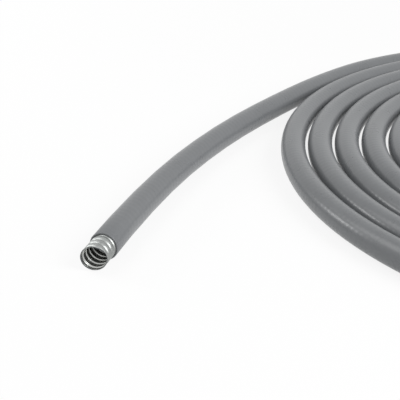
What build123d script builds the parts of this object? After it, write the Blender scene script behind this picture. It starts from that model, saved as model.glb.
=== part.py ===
from build123d import *
import os
from math import atan2, degrees, pi, radians, tan

# Liquid-tight flexible metal conduit, half-inch trade size, ten metres lying as a flat coil.
# Millimetres, +Z up, floor at Z = 0, the origin in the middle of the coil's eye.

os.makedirs("parts", exist_ok=True)

# The conduit's section.
JACKET_R = 10.55            # outside of the grey plastic jacket
CORE_R = 9.30               # outside of the steel core, which is also the jacket's inside
BORE_R = 8.00               # clear bore of the core

# The interlocked steel strip, where it is bare at the free end.
STRIP_PITCH = 5.6           # one convolution along the axis
GROOVE_DEPTH = 0.60         # the seam between two crowns, outside
GROOVE_TOP = 1.90
GROOVE_FLOOR = 0.90
RIB_R = 8.20                # the ribs inside the sawn end stand just clear of the bore
RECESS_DEPTH = 0.45         # the hollow under each crown, inside, with a rib left between two of them
RECESS_MOUTH = 4.40
RECESS_FLOOR = 3.40
BARE_LENGTH = 21.0          # steel left bare where the jacket is cut back

# The flat coil.
TURN_STEP = 23.286          # from one turn to the next
OUTER_TURN_R = 289.2        # middle of the outermost turn
TURN_COUNT = 7

# The free end on the floor: control points of its centreline, from the mouth to the coil.
LEAD_POINTS = [
    (-433.5, -175.5),
    (-403.8, -80.0),
    (-345.2, 44.2),
    (-265.5, 155.5),
    (-210.9, 214.6),
]


def heading(start, end):
    """Direction in degrees of the run from one control point to the next."""
    return degrees(atan2(end[1] - start[1], end[0] - start[0]))


def run_length(start, end):
    """Length of the run between two control points."""
    return ((end[0] - start[0]) ** 2 + (end[1] - start[1]) ** 2) ** 0.5


def bend_radii(points):
    """The arc at each inner control point, tangent to both of its runs."""
    radii = []
    for before, here, after in zip(points, points[1:], points[2:]):
        shorter = min(run_length(before, here), run_length(here, after))
        turn = abs(heading(here, after) - heading(before, here))
        radii.append(0.45 * shorter / tan(radians(turn) / 2))
    return radii


def point_along(start, end, distance):
    """The point that lies a given distance from start towards end."""
    share = distance / run_length(start, end)
    return (start[0] + (end[0] - start[0]) * share, start[1] + (end[1] - start[1]) * share)


JACKET_END = point_along(LEAD_POINTS[0], LEAD_POINTS[1], BARE_LENGTH)
LEAD_RADII = bend_radii(LEAD_POINTS)


def lead_route():
    """Centreline of the jacketed part of the free end: straight runs joined by tangent arcs."""
    corners = [Vector(x, y, JACKET_R) for x, y in [JACKET_END] + LEAD_POINTS[1:]]
    return FilletPolyline(*corners, radius=LEAD_RADII)


def tube_along(route, outside, inside):
    """A pipe of ring section swept along a route."""
    ring = Plane(origin=route @ 0, z_dir=route % 0) * (Circle(outside) - Circle(inside))
    return sweep(ring, path=route)


def coil_profile():
    """Half of the coil's section: eight-sided turns that meet in a groove above and below."""
    radii = [OUTER_TURN_R - TURN_STEP * number for number in range(TURN_COUNT)]
    flat = JACKET_R * tan(radians(22.5))
    groove = TURN_STEP / 2 - flat
    upper = [(radii[0] + JACKET_R, flat)]
    for radius in radii:
        upper += [(radius + flat, JACKET_R), (radius - flat, JACKET_R)]
        if radius != radii[-1]:
            upper.append((radius - TURN_STEP / 2, JACKET_R - groove))
    upper.append((radii[-1] - JACKET_R, flat))
    lower = [(radius, -height) for radius, height in reversed(upper)]
    outline = [(radius, height + JACKET_R) for radius, height in upper + lower]
    return make_face(Polyline(*outline, close=True))


def turned_coil():
    """All the turns as one turned solid, with the coil's eye as its bore."""
    return revolve(Plane.XZ * coil_profile(), axis=Axis.Z)


def helical_cutter(radius, depth, at_wall, at_depth, offset):
    """A tapered ridge wound at the strip's pitch, to cut a groove into a round wall."""
    height = BARE_LENGTH + 2 * STRIP_PITCH
    winding = Pos(0, 0, offset - STRIP_PITCH) * Helix(STRIP_PITCH, height, radius)
    past_wall = -0.5 if depth > 0 else 0.5
    half_wall, half_depth = at_wall / 2, at_depth / 2
    corners = [(past_wall, -half_wall), (past_wall, half_wall), (0, half_wall)]
    corners += [(depth, half_depth), (depth, -half_depth), (0, -half_wall)]
    section = make_face(Polyline(*corners, close=True))
    frame = Plane(origin=winding @ 0, x_dir=(1, 0, 0), z_dir=winding % 0)
    return sweep(frame * section, path=winding, is_frenet=True)


def bare_strip_end():
    """The bare end of the steel core, with its wound crowns outside and its ribs inside."""
    up = (Align.CENTER, Align.CENTER, Align.MIN)
    end = Cylinder(CORE_R, BARE_LENGTH, align=up) - Cylinder(RIB_R, BARE_LENGTH, align=up)
    end -= helical_cutter(CORE_R, -GROOVE_DEPTH, GROOVE_TOP, GROOVE_FLOOR, 0)
    end -= helical_cutter(RIB_R, RECESS_DEPTH, RECESS_MOUTH, RECESS_FLOOR, STRIP_PITCH / 2)
    return end


def steel_core(route):
    """The core inside the free end's jacket, with its bare end beyond the cut."""
    jacketed = tube_along(route, CORE_R, BORE_R)
    mouth = Vector(*LEAD_POINTS[0], JACKET_R)
    inward = Vector(*JACKET_END, JACKET_R) - mouth
    bare = Plane(origin=mouth, x_dir=(0, 0, 1), z_dir=inward) * bare_strip_end()
    return jacketed + bare


route = lead_route()
coil = turned_coil()
jacket_lead = tube_along(route, JACKET_R, CORE_R)
core = steel_core(route)

export_step(coil, "parts/jacket_coil.step")
export_step(jacket_lead, "parts/jacket_lead.step")
export_step(core, "parts/steel_core.step")

print("bend radii", [round(radius) for radius in LEAD_RADII])
print("free end, jacketed length", round(route.length, 1))
jacket_share = jacket_lead.volume / (route.length * pi * (JACKET_R ** 2 - CORE_R ** 2))
print("jacket volume over section times length", round(jacket_share, 4))
for name, shape in (("coil", coil), ("lead", jacket_lead), ("core", core)):
    box = shape.bounding_box()
    print(name, "solids", len(shape.solids()), "valid", shape.is_valid, "volume", round(shape.volume), box.min, box.max)
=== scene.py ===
# %% [markdown]
# A coil of liquid-tight flexible metal conduit lies flat on a pale floor. It is one long tube: a strip of
# galvanised steel, wound and hooked into itself, with a smooth grey PVC jacket extruded over it. The jacket
# is cut back at the free end, so the steel shows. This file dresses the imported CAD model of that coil: one
# smooth centreline carries both the jacket and the steel, so they can never drift apart.

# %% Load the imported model
from math import atan2, cos, pi, radians, sin, tan

import bmesh
import bpy
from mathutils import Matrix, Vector


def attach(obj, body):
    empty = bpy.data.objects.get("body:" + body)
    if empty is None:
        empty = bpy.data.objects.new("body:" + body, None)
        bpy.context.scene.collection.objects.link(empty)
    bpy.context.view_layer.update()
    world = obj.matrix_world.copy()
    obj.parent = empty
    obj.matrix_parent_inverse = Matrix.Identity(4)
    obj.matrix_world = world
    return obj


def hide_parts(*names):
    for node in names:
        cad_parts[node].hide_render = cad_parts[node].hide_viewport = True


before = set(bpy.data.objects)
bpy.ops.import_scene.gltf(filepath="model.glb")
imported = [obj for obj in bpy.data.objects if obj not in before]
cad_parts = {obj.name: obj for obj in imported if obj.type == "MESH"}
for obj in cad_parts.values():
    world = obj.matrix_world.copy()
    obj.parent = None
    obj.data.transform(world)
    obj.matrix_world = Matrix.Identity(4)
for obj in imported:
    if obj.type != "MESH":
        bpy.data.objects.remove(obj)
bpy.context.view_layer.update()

# %% [markdown]
# Every length is written in millimetres, because conduit is sold by its section in millimetres or inches,
# and turned into metres where Blender needs them. The section below is the half-inch trade size. The pitch of
# the strip and the length of its bare end were measured in the picture again after the CAD model was finished,
# which has 5.6 mm and 21 mm there. The picture is too small to tell the two pitches apart for certain.

# %% Sizes of the conduit
MM = 0.001
JACKET_R = 10.55 * MM
CORE_R = 9.30 * MM
BORE_R = 8.00 * MM
STRIP_PITCH = 5.2 * MM      # from one winding of the strip to the next
BARE_LENGTH = 17.8 * MM     # steel left bare at the mouth
TUBE_LENGTH = 10000.0 * MM
TURN_STEP = 23.286 * MM     # from one turn of the coil to the next
SPIRAL_R = 280.524 * MM     # radius of the spiral where its angle is zero
print("jacket wall", round((JACKET_R - CORE_R) / MM, 2), "mm")

# %% [markdown]
# The camera comes first. Its height, tilt and lens were worked out from the ellipses that the turns of the
# coil make in the picture. It looks along +Y and 26 degrees down, with a long lens, from about 85 cm away
# from the middle of the coil.

# %% Camera
CAMERA_PLACE = (-360.42 * MM, -709.12 * MM, 312.19 * MM)
CAMERA_DROP = 25.806        # degrees below level
LONG_LENS = 81.61           # millimetres, the unit that Blender's lenses use
SENSOR_WIDTH = 36.0

camera_data = bpy.data.cameras.new("coil_camera")
camera_data.sensor_width = SENSOR_WIDTH
camera_data.lens = LONG_LENS
camera = bpy.data.objects.new("coil_camera", camera_data)
camera.location = CAMERA_PLACE
camera.rotation_euler = (radians(90 - CAMERA_DROP), 0, 0)
bpy.context.scene.collection.objects.link(camera)
bpy.context.scene.camera = camera
print("camera at", tuple(round(value, 3) for value in camera.location))

# %% [markdown]
# The free end is a gentle bow that leaves the coil behind its left side and comes forward along the floor.
# These are its control points in millimetres, from the open mouth to the coil. The CAD tube follows the same
# ones, apart from the mouth, which was measured again in the picture and moved by 1.4 mm.

# %% Control points of the free end
LEAD_POINTS = [
    (-432.3, -176.2),
    (-403.8, -80.0),
    (-345.2, 44.2),
    (-265.5, 155.5),
]
print("free end control points", len(LEAD_POINTS))

# %% [markdown]
# The coil is a flat spiral: each turn lies inside the last, one tube width and a small gap further in. A
# NURBS curve of order 3 cuts a little inside its control points, so they stand out by the same small share.
# The spiral is followed until the whole tube is used up, which is what fixes the size of the coil's eye.

# %% Control points of the coil
POINTS_PER_TURN = 36
START_ANGLE = radians(-314.5)
CORNER_CUT = 0.75 + 0.25 * cos(2 * pi / POINTS_PER_TURN)
LEAD_LENGTH = 445 * MM      # length of the free end, to within a centimetre


def spiral_point(angle):
    """The coil's centreline, counted clockwise from the left; the radius shrinks as the angle grows."""
    radius = SPIRAL_R - TURN_STEP * angle / (2 * pi)
    return (-radius * cos(angle), radius * sin(angle), radius)


def coil_points(end_angle):
    """Control points at even angles, from where the free end leaves to the end in the coil's eye."""
    count = round((end_angle - START_ANGLE) / (2 * pi) * POINTS_PER_TURN)
    points = []
    for number in range(count + 1):
        angle = START_ANGLE + (end_angle - START_ANGLE) * number / count
        x, y, radius = spiral_point(angle)
        points.append((x / CORNER_CUT, y / CORNER_CUT))
    return points


def spiral_end(lead_length):
    """The angle at which the lead and the spiral add up to the whole tube."""
    angle, length, step = START_ANGLE, lead_length, radians(1)
    while length < TUBE_LENGTH:
        length += spiral_point(angle)[2] * step
        angle += step
    return angle


END_ANGLE = spiral_end(LEAD_LENGTH)
EYE_R = spiral_point(END_ANGLE)[2]
print("turns", round((END_ANGLE - START_ANGLE) / (2 * pi), 2), "eye radius", round(EYE_R / MM), "mm")

# %% [markdown]
# One NURBS curve runs through the whole tube. Its evaluated points are read back once, and everything else
# is built on them.

# %% The conduit's centreline
STEPS_PER_POINT = 4


def read_centreline():
    """The smooth points of one NURBS curve through all control points."""
    flat = [(x * MM, y * MM) for x, y in LEAD_POINTS] + coil_points(END_ANGLE)
    curve = bpy.data.curves.new("conduit_route", "CURVE")
    curve.dimensions = "3D"
    curve.resolution_u = STEPS_PER_POINT
    spline = curve.splines.new("NURBS")
    spline.points.add(len(flat) - 1)
    for point, (x, y) in zip(spline.points, flat):
        point.co = (x, y, JACKET_R, 1)
    spline.order_u = 3
    spline.use_endpoint_u = True
    holder = bpy.data.objects.new("conduit_route", curve)
    mesh = bpy.data.meshes.new_from_object(holder)
    points = [vertex.co.copy() for vertex in mesh.vertices]
    bpy.data.meshes.remove(mesh)
    bpy.data.objects.remove(holder)
    return points


centreline = read_centreline()
travelled = [0.0]
for here, there in zip(centreline, centreline[1:]):
    travelled.append(travelled[-1] + (there - here).length)
print("centreline points", len(centreline), "length", round(travelled[-1], 3), "m")

# %% [markdown]
# The tube lies on the floor, so its sideways direction is always level and its upward direction is +Z. That
# makes the frame at each station simple, and the rings never twist.

# %% Directions along the tube
def direction_at(number):
    """Direction of travel at one centreline point."""
    before = centreline[max(number - 1, 0)]
    after = centreline[min(number + 1, len(centreline) - 1)]
    return (after - before).normalized()


def blended_direction(number, share):
    """Direction between two neighbouring centreline points."""
    following = direction_at(min(number + 1, len(centreline) - 1))
    return direction_at(number).lerp(following, share).normalized()


print("mouth direction", tuple(round(value, 3) for value in direction_at(0)))


# %% Stations along the tube
def station(distance):
    """Centre and sideways direction at a distance from the mouth."""
    distance = min(max(distance, 0.0), travelled[-1])
    low, high = 0, len(travelled) - 1
    while high - low > 1:
        middle = (low + high) // 2
        if travelled[middle] <= distance:
            low = middle
        else:
            high = middle
    share = (distance - travelled[low]) / (travelled[high] - travelled[low])
    ahead = blended_direction(low, share)
    side = Vector((-ahead.y, ahead.x, 0)).normalized()
    return centreline[low].lerp(centreline[high], share), side


def on_wall(distance, angle, radius):
    """A point of a round wall: angle 0 is sideways and 90 degrees is up."""
    centre, side = station(distance)
    return centre + side * (radius * cos(angle)) + Vector((0, 0, radius * sin(angle)))


print("top of the tube at the mouth", round(on_wall(0, pi / 2, JACKET_R).z / MM, 2), "mm")

# %% [markdown]
# The PVC jacket is a plain extruded tube with a square knife cut at both ends. It is built as rings: down
# the outside, round the cut edge, and back up the inside, so its wall has a real thickness at the ends.
# A knife leaves a slightly soft corner, which catches a thin line of light.

# %% Rings of the jacket
CUT_ROUND = 0.50 * MM       # the soft corner of the cut edge
CUT_HALFWAY = 0.15 * MM     # how deep the corner's middle ring lies, both ways
JACKET_CLEAR = 0.05 * MM    # keeps the inside of the jacket off the steel
RING_MARGIN = 1 * MM        # no plain ring lies closer to a cut than this


def distances_between(start, end):
    """The centreline's own points that lie well inside a stretch, as distances from the mouth."""
    return [distance for distance in travelled if start + RING_MARGIN < distance < end - RING_MARGIN]


def cut_edge(distance, inward):
    """Rings over one cut edge, from the steel outwards; inward is 1 at the mouth and -1 in the eye."""
    return [
        (distance, CORE_R + JACKET_CLEAR),
        (distance, JACKET_R - CUT_ROUND),
        (distance + inward * CUT_HALFWAY, JACKET_R - CUT_HALFWAY),
        (distance + inward * CUT_ROUND, JACKET_R),
    ]


def jacket_rings():
    """Distance and radius of each ring, in order round the wall's closed section."""
    start, end = BARE_LENGTH, travelled[-1]
    inner = distances_between(start, end)
    rings = cut_edge(start, 1)
    rings += [(distance, JACKET_R) for distance in inner]
    rings += reversed(cut_edge(end, -1))
    rings += [(distance, CORE_R + JACKET_CLEAR) for distance in reversed(inner)]
    return rings


print("jacket rings", len(jacket_rings()))

# %% [markdown]
# The rings are then joined into one closed mesh. Its UV map is in metres and runs round and along the tube,
# so that the lines left by the extruder can follow it.

# %% Jacket mesh
JACKET_SIDES = 32


def wall_mesh(name, rings, sides):
    """A closed wall from rings of vertices, with a UV map in metres."""
    mesh = bmesh.new()
    rows = []
    for distance, radius in rings:
        angles = [2 * pi * side / sides for side in range(sides)]
        rows.append([mesh.verts.new(on_wall(distance, angle, radius)) for angle in angles])
    uv = mesh.loops.layers.uv.new("metres")
    for number, row in enumerate(rows):
        following = (number + 1) % len(rows)
        for side in range(sides):
            beside = (side + 1) % sides
            face = mesh.faces.new((row[side], row[beside], rows[following][beside], rows[following][side]))
            face.smooth = True
            corners = ((number, side), (number, side + 1), (following, side + 1), (following, side))
            for loop, (ring, column) in zip(face.loops, corners):
                loop[uv].uv = (column / sides * 2 * pi * JACKET_R, rings[ring][0])
    bmesh.ops.recalc_face_normals(mesh, faces=mesh.faces)
    data = bpy.data.meshes.new(name)
    mesh.to_mesh(data)
    mesh.free()
    return data


jacket = bpy.data.objects.new("jacket", wall_mesh("jacket", jacket_rings(), JACKET_SIDES))
bpy.context.scene.collection.objects.link(jacket)
print("jacket faces", len(jacket.data.polygons))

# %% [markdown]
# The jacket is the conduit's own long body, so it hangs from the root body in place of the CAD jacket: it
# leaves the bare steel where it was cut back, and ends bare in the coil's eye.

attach(jacket, "root")
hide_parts("jacket_coil", "jacket_lead")

# %% [markdown]
# The steel core is a narrow strip bent into a hooked section and wound so that each winding locks into the
# last. Seen from outside it is a row of broad rounded crowns with narrow grooves between them; seen from
# inside, the grooves stand up as narrow ribs. The points below give that section over one winding, as
# distance along the tube and radius, both in millimetres.

# %% The strip's section along one winding
OUTER_SECTION = [(0.0, 8.58), (0.26, 8.62), (0.52, 8.80), (0.84, 9.01), (1.30, 9.18), (1.90, 9.27),
                 (2.60, 9.30), (3.30, 9.27), (3.90, 9.18), (4.36, 9.01), (4.68, 8.80), (4.94, 8.62)]
INNER_SECTION = [(0.35, 8.00), (0.97, 8.02), (1.25, 8.12), (1.40, 8.35), (1.53, 8.68), (1.80, 8.90),
                 (2.90, 8.95), (4.05, 8.90), (4.35, 8.68), (4.50, 8.35), (4.65, 8.12), (4.93, 8.02)]
print("points along one winding", len(OUTER_SECTION), "outside", len(INNER_SECTION), "inside")

# %% [markdown]
# The rows of the mesh follow the helix, as the strip does, so the edges of the crowns stay crisp. The mouth is
# only some 25 pixels wide in the picture. A left-handed winding fits it better than the right-handed one of
# the CAD model, but the picture doesn't rule that one out.

# %% Winding one side of the wall
STRIP_SIDES = 48            # rows of the mesh in one winding
LEFT_HAND = -1              # the angle falls as the winding moves on
FACE_OUTSIDE, FACE_INSIDE, FACE_SAWN = 0, 1, 2      # material slots of the steel


def past_the_ends(distance, angle, radius):
    """As on_wall, but both ends carry straight on, for the part that is sawn off."""
    if distance < 0:
        return on_wall(0, angle, radius) + direction_at(0) * distance
    if distance > travelled[-1]:
        onward = direction_at(len(centreline) - 1) * (distance - travelled[-1])
        return on_wall(travelled[-1], angle, radius) + onward
    return on_wall(distance, angle, radius)


def helical_skin(mesh, section, start, turns, slot):
    """One side of the strip's wall: its section carried along the helix."""
    rows = []
    for step in range(turns * STRIP_SIDES + 1):
        angle = LEFT_HAND * 2 * pi * step / STRIP_SIDES
        base = start + STRIP_PITCH * step / STRIP_SIDES
        points = [past_the_ends(base + along * MM, angle, radius * MM) for along, radius in section]
        rows.append([mesh.verts.new(point) for point in points])
    for step in range((turns - 1) * STRIP_SIDES):
        row = rows[step] + [rows[step + STRIP_SIDES][0]]
        following = rows[step + 1] + [rows[step + 1 + STRIP_SIDES][0]]
        for column in range(len(section)):
            corners = (row[column], row[column + 1], following[column + 1], following[column])
            face = mesh.faces.new(corners)
            face.smooth = True
            face.material_index = slot


print("windings in the whole conduit", round(TUBE_LENGTH / STRIP_PITCH))

# %% [markdown]
# Both sides of the wall are wound a few windings too long and then sawn off. The saw ran a little askew at
# the mouth, as far as the picture tells. It doesn't show the end in the coil's eye, which is cut square.

# %% Sawing one side of the wall
SPARE_WINDINGS = 3
GROOVE_AT_MOUTH = 0.607     # share of a winding from the last sawn-off groove to the cut, at the tube's side
SAW_SLANT = radians(12)
SAW_CUT = 0.6 * MM          # from the start of the centreline to the middle of the cut


def saw_off(mesh, skin, distance, keep, slant):
    """Saw one skin off at a distance; keep is 1 to keep what lies beyond, -1 what lies before."""
    centre, side = station(distance)
    ahead = side.cross(Vector((0, 0, 1)))
    normal = ahead * cos(slant) + side * sin(slant)
    faces = [face for face in mesh.faces if face.verts[0] in skin]
    face_edges = {edge for face in faces for edge in face.edges}
    # A set has no order of its own, so the mesh's order is used, and each run gives the same mesh.
    whole_skin = [vertex for vertex in mesh.verts if vertex in skin]
    whole_skin += [edge for edge in mesh.edges if edge in face_edges] + faces
    cut = bmesh.ops.bisect_plane(
        mesh, geom=whole_skin, plane_co=centre, plane_no=normal * -keep, clear_outer=True)
    ring = [item for item in cut["geom_cut"] if isinstance(item, bmesh.types.BMVert)]
    angles = [(atan2(vertex.co.z - centre.z, (vertex.co - centre).dot(side)), vertex) for vertex in ring]
    return sorted(angles, key=lambda pair: pair[0])


def sawn_skin(mesh, section, begin, end, slant, slot):
    """One side of the wall between two saw cuts, and the ring of vertices at each cut."""
    others = set(mesh.verts)
    start = begin - (SPARE_WINDINGS + GROOVE_AT_MOUTH) * STRIP_PITCH
    turns = int((end - begin) / STRIP_PITCH) + 2 * SPARE_WINDINGS + 1
    helical_skin(mesh, section, start, turns, slot)
    rings = []
    for distance, keep, turn in ((begin, 1, slant), (end, -1, 0)):
        skin = {vertex for vertex in mesh.verts if vertex not in others}
        rings.append(saw_off(mesh, skin, distance, keep, turn))
    return rings


print("one side of the slanted cut lies", round(2 * CORE_R * tan(SAW_SLANT) / MM, 1), "mm further along")

# %% [markdown]
# A saw cut through the wall shows the thickness of the strip. The outer and the inner ring of the cut have
# different numbers of points, so the edge is closed with triangles that step round both of them by angle.

# %% Closing the cuts
def close_cut(mesh, outside, inside):
    """The sawn edge of the strip: triangles between the outer and the inner ring, in order of angle."""
    here, there = 0, 0
    while here < len(outside) or there < len(inside):
        next_out = outside[(here + 1) % len(outside)][0] + (2 * pi if here + 1 >= len(outside) else 0)
        next_in = inside[(there + 1) % len(inside)][0] + (2 * pi if there + 1 >= len(inside) else 0)
        corner, opposite = outside[here % len(outside)][1], inside[there % len(inside)][1]
        if there >= len(inside) or (here < len(outside) and next_out <= next_in):
            here += 1
            face = mesh.faces.new((corner, outside[here % len(outside)][1], opposite))
        else:
            there += 1
            face = mesh.faces.new((corner, inside[there % len(inside)][1], opposite))
        face.material_index = FACE_SAWN


def wound_length(begin, end, slant=0):
    """A closed length of ribbed wall between two distances from the mouth."""
    mesh = bmesh.new()
    outside = sawn_skin(mesh, OUTER_SECTION, begin, end, slant, FACE_OUTSIDE)
    inside = sawn_skin(mesh, INNER_SECTION, begin, end, slant, FACE_INSIDE)
    for outer_ring, inner_ring in zip(outside, inside):
        close_cut(mesh, outer_ring, inner_ring)
    loose = [vertex for vertex in mesh.verts if not vertex.link_faces]
    bmesh.ops.delete(mesh, geom=loose, context="VERTS")
    bmesh.ops.recalc_face_normals(mesh, faces=mesh.faces)
    data = bpy.data.meshes.new("wound_length")
    mesh.to_mesh(data)
    mesh.free()
    return data


WOUND_AT_MOUTH = 150 * MM
wound_mouth = wound_length(SAW_CUT, WOUND_AT_MOUTH, SAW_SLANT)
print("faces of the wound length at the mouth", len(wound_mouth.polygons))

# %% [markdown]
# The strip runs through the whole conduit. It is wound turn by turn where somebody can look into it, at the
# bare end and in the coil's eye. Deep inside the jacket it is a plain tube of nearly the same wall, because
# nearly two thousand hidden windings would only make the file heavy.

# %% Steel core
WOUND_IN_EYE = 60 * MM
CORE_SIDES = 16
DEEP_INSET = 0.1 * MM       # the plain wall stands this far inside the crowns and the ribs


def deep_core():
    """The plain stretch of core between the two wound lengths."""
    begin, end = WOUND_AT_MOUTH, travelled[-1] - WOUND_IN_EYE
    along = [begin] + distances_between(begin, end) + [end]
    rings = [(distance, CORE_R - DEEP_INSET) for distance in along]
    rings += [(distance, BORE_R + DEEP_INSET) for distance in reversed(along)]
    return wall_mesh("deep_core", rings, CORE_SIDES)


def joined_mesh(name, parts):
    """Several meshes as one; the parts are removed."""
    whole = bmesh.new()
    for data in parts:
        whole.from_mesh(data)
        bpy.data.meshes.remove(data)
    data = bpy.data.meshes.new(name)
    whole.to_mesh(data)
    whole.free()
    return data


wound_eye = wound_length(travelled[-1] - WOUND_IN_EYE, travelled[-1])
steel = bpy.data.objects.new("steel_strip", joined_mesh("steel_strip", [wound_mouth, wound_eye, deep_core()]))
bpy.context.scene.collection.objects.link(steel)
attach(steel, "root")
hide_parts("steel_core")
print("steel faces", len(steel.data.polygons))

# %% [markdown]
# Colours are written as the sRGB hex values that a picture editor shows. Blender's shaders work in linear
# light, so one function turns them round. One more adds a node with its settings and its links.

# %% Colour and node helpers
def linear(hex_colour):
    """An sRGB hex colour as linear RGBA."""
    channels = [int(hex_colour[start:start + 2], 16) / 255 for start in (1, 3, 5)]
    return [c / 12.92 if c <= 0.04045 else ((c + 0.055) / 1.055) ** 2.4 for c in channels] + [1.0]


def add_node(tree, kind, settings=None, links=None):
    """A node with its properties, its input values and its incoming links."""
    node = tree.nodes.new(kind)
    for key, value in (settings or {}).items():
        if hasattr(node, key):
            setattr(node, key, value)
        else:
            node.inputs[key].default_value = value
    for socket, source in (links or {}).items():
        tree.links.new(source, node.inputs[socket])
    return node


def new_material(name):
    """An empty node material and its output node."""
    material = bpy.data.materials.new(name)
    material.use_nodes = True
    material.node_tree.nodes.clear()
    output = material.node_tree.nodes.new("ShaderNodeOutputMaterial")
    return material, material.node_tree, output


print("middle grey #808080 in linear light", [round(value, 3) for value in linear("#808080")])

# %% [markdown]
# The jacket is flexible PVC, extruded hot over the steel and drawn through a water bath. It shrinks on as it
# cools, so the windings of the strip show through as a very shallow ripple that only a glancing light finds.
# The ripple is one sine wave for each winding, on the same helix as the strip.

# %% Ripple of the strip under the jacket
RIPPLE_DEPTH = 0.02 * MM


def strip_ripple(tree, metres):
    """The windings of the strip showing through: one shallow wave for each winding, along its helix."""
    turns = (1 / JACKET_R, 2 * pi / STRIP_PITCH, 0)
    phase = add_node(tree, "ShaderNodeVectorMath", {"operation": "DOT_PRODUCT"})
    phase.inputs[1].default_value = turns
    tree.links.new(metres, phase.inputs[0])
    wave = add_node(tree, "ShaderNodeMath", {"operation": "SINE"}, {"Value": phase.outputs["Value"]})
    return wave.outputs[0]


print("ripple", round(RIPPLE_DEPTH / MM, 3), "mm deep on a winding of", round(STRIP_PITCH / MM, 1), "mm")

# %% [markdown]
# Over the ripple lie faint lines along the tube, left by the extruder's die, and a slight bloom where the
# tube has rubbed on its neighbours. To the eye that makes a soft satin grey whose shine is never quite even.
# The real die lines are finer than the picture can show, so they are drawn coarser, nine to a centimetre. The
# IOR is that of PVC.

# %% Extruded PVC
DRAW_LINE_DEPTH = 0.010 * MM
DRAW_LINE_WIDTH = 10 / 9 * MM
DRAW_LINE_LENGTH = 1000 / 14 * MM
RUB_SIZE = 200 / 9 * MM     # a rubbed patch is about as wide as the tube
PVC_IOR = 1.53


def die_lines(tree, metres):
    """Faint lines along the tube, as a height from 0 to 1."""
    scale = (1 / DRAW_LINE_WIDTH, 1 / DRAW_LINE_LENGTH, 1)
    stretched = add_node(tree, "ShaderNodeMapping", {"Scale": scale}, {"Vector": metres})
    settings = {"Scale": 1.0, "Detail": 3.0}
    return add_node(tree, "ShaderNodeTexNoise", settings, {"Vector": stretched.outputs[0]}).outputs["Fac"]


def extruded_pvc():
    """Grey flexible PVC with a low uneven sheen, over the ripple of the strip."""
    material, tree, output = new_material("extruded_pvc")
    surface = add_node(tree, "ShaderNodeBsdfPrincipled", {"IOR": PVC_IOR, "Specular IOR Level": 0.3})
    metres = add_node(tree, "ShaderNodeUVMap", {"uv_map": "metres"}).outputs[0]
    place = add_node(tree, "ShaderNodeTexCoord").outputs["Object"]
    rubs = add_node(tree, "ShaderNodeTexNoise", {"Scale": 1 / RUB_SIZE, "Detail": 4.0}, {"Vector": place})
    bloom = rubs.outputs["Fac"]
    mix = add_node(tree, "ShaderNodeMix", {"data_type": "RGBA"}, {"Factor": bloom})
    mix.inputs[6].default_value = linear("#707274")
    mix.inputs[7].default_value = linear("#787A7C")
    sheen = add_node(tree, "ShaderNodeMapRange", {"To Min": 0.24, "To Max": 0.33}, {"Value": bloom})
    fine = add_node(tree, "ShaderNodeBump", {"Strength": 1.0, "Distance": DRAW_LINE_DEPTH},
                    {"Height": die_lines(tree, metres)})
    ripple = add_node(tree, "ShaderNodeBump", {"Strength": 1.0, "Distance": RIPPLE_DEPTH},
                      {"Height": strip_ripple(tree, metres), "Normal": fine.outputs[0]})
    tree.links.new(mix.outputs[2], surface.inputs["Base Color"])
    tree.links.new(sheen.outputs[0], surface.inputs["Roughness"])
    tree.links.new(ripple.outputs[0], surface.inputs["Normal"])
    tree.links.new(surface.outputs[0], output.inputs["Surface"])
    return material


jacket.data.materials.append(extruded_pvc())
print("jacket material", jacket.data.materials[0].name)

# %% [markdown]
# The strip is hot-dip galvanised steel, rolled and bent, and both of its sides are the same zinc. The inside
# is
# given a lighter copy of it: painted light, for the light that reaches into the bore. Both have the cloudy,
# slightly uneven shine of rolled zinc, in clouds just under 3 mm wide, and small dents about 4 mm apart from
# the rollers that hook the windings together. Where the saw went through, the edge is bare steel and rougher,
# and darker: painted shade, for the rim of the mouth, which lies in shade. It is so narrow that the same
# pattern serves there. A metal keeps Blender's own IOR.

# %% Galvanised strip steel
CLOUD_SIZE = 20 / 7 * MM
DENT_SPACING = 25 / 6 * MM
DENT_DEPTH = 0.25 * MM


def zinc(name, dark, light, roughness):
    """Rolled zinc: two close greys in clouds, a cloudy shine and shallow roller dents."""
    material, tree, output = new_material(name)
    surface = add_node(tree, "ShaderNodeBsdfPrincipled", {"Metallic": 1.0})
    place = add_node(tree, "ShaderNodeTexCoord").outputs["Object"]
    clouds = add_node(tree, "ShaderNodeTexNoise", {"Scale": 1 / CLOUD_SIZE, "Detail": 3.0}, {"Vector": place})
    dents = add_node(tree, "ShaderNodeTexNoise", {"Scale": 1 / DENT_SPACING, "Detail": 1.0},
                     {"Vector": place})
    cloud = clouds.outputs["Fac"]
    mix = add_node(tree, "ShaderNodeMix", {"data_type": "RGBA"}, {"Factor": cloud})
    mix.inputs[6].default_value = linear(dark)
    mix.inputs[7].default_value = linear(light)
    smooth, rough = roughness
    shine = add_node(tree, "ShaderNodeMapRange", {"To Min": smooth, "To Max": rough}, {"Value": cloud})
    bump = add_node(tree, "ShaderNodeBump", {"Strength": 1.0, "Distance": DENT_DEPTH},
                    {"Height": dents.outputs["Fac"]})
    tree.links.new(mix.outputs[2], surface.inputs["Base Color"])
    tree.links.new(shine.outputs[0], surface.inputs["Roughness"])
    tree.links.new(bump.outputs[0], surface.inputs["Normal"])
    tree.links.new(surface.outputs[0], output.inputs["Surface"])
    return material


# In the order of the slots FACE_OUTSIDE, FACE_INSIDE and FACE_SAWN.
steel.data.materials.append(zinc("zinc_outside", "#8A8D8C", "#A8AAA8", (0.38, 0.50)))
# The inside's lighter copy of the same zinc is painted light, for the light that reaches into the bore.
steel.data.materials.append(zinc("zinc_inside_painted_light", "#ACAEAC", "#C6C7C4", (0.26, 0.40)))
# The sawn edge is bare steel and rougher, and its darker grey is painted shade, for the shaded rim of the
# mouth.
steel.data.materials.append(zinc("sawn_steel_edge_with_painted_shade", "#505355", "#6A6D6F", (0.40, 0.55)))
print("steel materials", [material.name for material in steel.data.materials])

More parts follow.
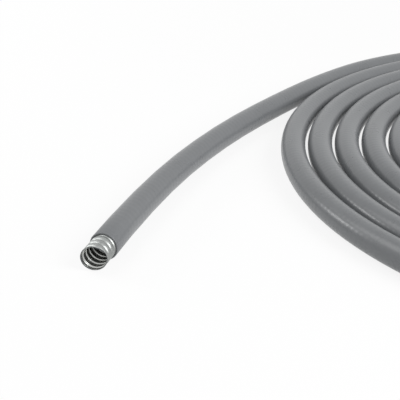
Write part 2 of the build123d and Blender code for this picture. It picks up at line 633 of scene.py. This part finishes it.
# %% [markdown]
# The conduit lies on a plain white sheet, in a white room. To the camera and to reflections the room is full
# white and the sheet nearly so, which keeps the background clean; only a weak shadow shows on the sheet. The
# light that falls on the conduit itself stays at a plain level.

# %% What the camera and reflections see
def seen_directly(tree):
    """1 for camera, glossy and transmission rays, and 0 for the light that falls on things."""
    rays = add_node(tree, "ShaderNodeLightPath")
    mirrored = add_node(tree, "ShaderNodeMath", {"operation": "MAXIMUM"})
    tree.links.new(rays.outputs["Is Camera Ray"], mirrored.inputs[0])
    tree.links.new(rays.outputs["Is Glossy Ray"], mirrored.inputs[1])
    through = add_node(tree, "ShaderNodeMath", {"operation": "MAXIMUM"})
    tree.links.new(mirrored.outputs[0], through.inputs[0])
    tree.links.new(rays.outputs["Is Transmission Ray"], through.inputs[1])
    return through.outputs[0]


SHARE_BY_THE_COIL = 0.86
COIL_EDGE = 350 * MM
PLAIN_WHITE_FROM = 1000 * MM
print("share of the sheet that is plain white beside the coil", SHARE_BY_THE_COIL)


# %% White paper
def white_paper():
    """White paper that keeps a faint shadow round the conduit and turns plain white further out."""
    material, tree, output = new_material("white_paper")
    matte = add_node(tree, "ShaderNodeBsdfDiffuse", {"Color": linear("#F6F6F6")})
    glow = add_node(tree, "ShaderNodeEmission", {"Color": (1, 1, 1, 1), "Strength": 1.0})
    place = add_node(tree, "ShaderNodeTexCoord")
    from_centre = add_node(tree, "ShaderNodeVectorMath", {"operation": "LENGTH"})
    tree.links.new(place.outputs["Object"], from_centre.inputs[0])
    fade = add_node(tree, "ShaderNodeMapRange", {"From Min": COIL_EDGE, "From Max": PLAIN_WHITE_FROM,
                                                 "To Min": SHARE_BY_THE_COIL, "To Max": 1.0},
                    {"Value": from_centre.outputs["Value"]})
    share = add_node(tree, "ShaderNodeMath", {"operation": "MULTIPLY"})
    tree.links.new(fade.outputs[0], share.inputs[0])
    tree.links.new(seen_directly(tree), share.inputs[1])
    mix = add_node(tree, "ShaderNodeMixShader", None, {"Fac": share.outputs[0]})
    tree.links.new(matte.outputs[0], mix.inputs[1])
    tree.links.new(glow.outputs[0], mix.inputs[2])
    tree.links.new(mix.outputs[0], output.inputs["Surface"])
    return material


paper = white_paper()
print("floor material", paper.name)


# %% Floor
FLOOR_REACH = 6.0
FLOOR_DROP = 0.2 * MM       # just below the tubes, so that their undersides don't lie in the sheet

edge = FLOOR_REACH
corners = [(-edge, -edge, 0), (edge, -edge, 0), (edge, edge, 0), (-edge, edge, 0)]
floor_data = bpy.data.meshes.new("floor")
floor_data.from_pydata(corners, [], [(0, 1, 2, 3)])
floor = bpy.data.objects.new("floor", floor_data)
floor.location.z = -FLOOR_DROP
floor.data.materials.append(paper)
bpy.context.scene.collection.objects.link(floor)
print("floor reach", FLOOR_REACH, "m")

# %% [markdown]
# The tubes are lit from the upper left and from the front right, over a plain level of light from the room,
# and their shaded sides and the creases between them stay dark. A small lamp stands low on the left, where
# the picture's row of small glints on each turn puts it.

# %% Light of the room
def white_room(strength):
    """An even white world: full white where it is seen directly, a plain level as light."""
    world = bpy.data.worlds.new("white_room")
    world.use_nodes = True
    tree = world.node_tree
    tree.nodes.clear()
    level = add_node(tree, "ShaderNodeMapRange", {"To Min": strength, "To Max": 1.0},
                     {"Value": seen_directly(tree)})
    room = add_node(tree, "ShaderNodeBackground", {"Color": (1, 1, 1, 1)}, {"Strength": level.outputs[0]})
    output = add_node(tree, "ShaderNodeOutputWorld")
    tree.links.new(room.outputs[0], output.inputs["Surface"])
    return world


ROOM_LEVEL = 0.33
bpy.context.scene.world = white_room(ROOM_LEVEL)
print("light of the room on the conduit", ROOM_LEVEL)


# %% Lamps
def soft_box(name, place, width, watts):
    """A square area lamp that faces the coil; place and width are in metres."""
    data = bpy.data.lights.new(name, "AREA")
    data.size = width
    data.energy = watts
    lamp = bpy.data.objects.new(name, data)
    lamp.location = place
    lamp.rotation_euler = (-lamp.location).to_track_quat("-Z", "Y").to_euler()
    bpy.context.scene.collection.objects.link(lamp)


soft_box("left_light", place=(-1.35, 0.3, 1.5), width=1.0, watts=10.5)
soft_box("front_light", place=(1.15, -0.95, 1.15), width=1.3, watts=35.0)
soft_box("glint_light", place=(-1.45, 0.42, 0.47), width=0.26, watts=3.2)
bpy.context.scene.view_settings.view_transform = "Standard"
